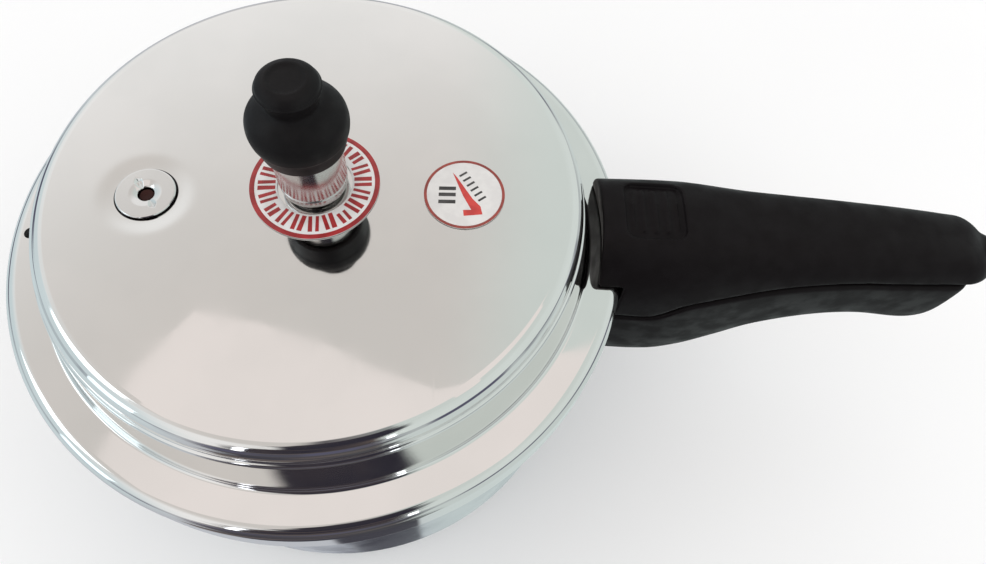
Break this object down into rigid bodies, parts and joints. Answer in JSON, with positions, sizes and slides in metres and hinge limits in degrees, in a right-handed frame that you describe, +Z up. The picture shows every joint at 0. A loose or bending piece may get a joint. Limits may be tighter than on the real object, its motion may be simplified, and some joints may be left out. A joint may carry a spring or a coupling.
{
  "type": "stovetop pressure cooker",
  "caption": "Aluminium stovetop pressure cooker with an outer bayonet lid, mating black handles, a lifting vent weight and a fusible safety plug.",
  "frame": {"origin": "centre of the pot's flat base, on the surface it stands on", "axes": "+Z up along the pot's axis, +X along both handles, towards their tips"},
  "size_m": [0.3746, 0.224, 0.1986],
  "materials": {
    "aluminium": "mirror polished",
    "steel": "polished",
    "phenolic": "matte moulded phenolic with a fine grain",
    "rubber": "moulded nitrile rubber",
    "brass": "turned brass",
    "fusible_alloy": "dull cast alloy",
    "label_red": "printed film, red on white",
    "label_clear": "printed film, red and dark on clear"
  },
  "bodies": {
    "pot": {"pot_body": "aluminium", "pot_handle_bracket": "aluminium", "pot_rivet_left": "aluminium", "pot_rivet_right": "aluminium", "pot_handle": "phenolic", "pot_handle_screw": "steel"},
    "seal": {"gasket": "rubber"},
    "lid": {"lid": "aluminium", "lid_handle_bracket": "aluminium", "lid_rivet_left": "aluminium", "lid_rivet_right": "aluminium", "lid_handle": "phenolic", "lid_handle_screw": "steel", "vent_tube": "steel", "vent_washer": "rubber", "vent_nut": "brass", "vent_label": "label_red", "inspection_label": "label_clear", "safety_plug": "steel", "safety_fuse": "fusible_alloy", "safety_washer": "rubber", "safety_nut": "steel"},
    "clip": {"retaining_clip": "steel"},
    "weight": {"weight_body": "steel", "weight_cover": "phenolic", "valve_pin": "steel"}
  },
  "joints": [
    {"name": "lid_lift", "type": "slide", "parent": "pot", "child": "seal", "axis": [0, 0, 1], "range_m": [0, 0.12]},
    {"name": "lid_turn", "type": "hinge", "parent": "seal", "child": "lid", "pos_m": [0, 0, 0.115], "axis": [0, 0, 1], "range_deg": [0, 45]},
    {"name": "weight_lift", "type": "slide", "parent": "lid", "child": "clip", "axis": [0, 0, 1], "range_m": [0, 0.03]},
    {"name": "weight_spin", "type": "hinge", "parent": "clip", "child": "weight", "pos_m": [0, 0, 0.16], "axis": [0, 0, 1], "continuous": true}
  ]
}
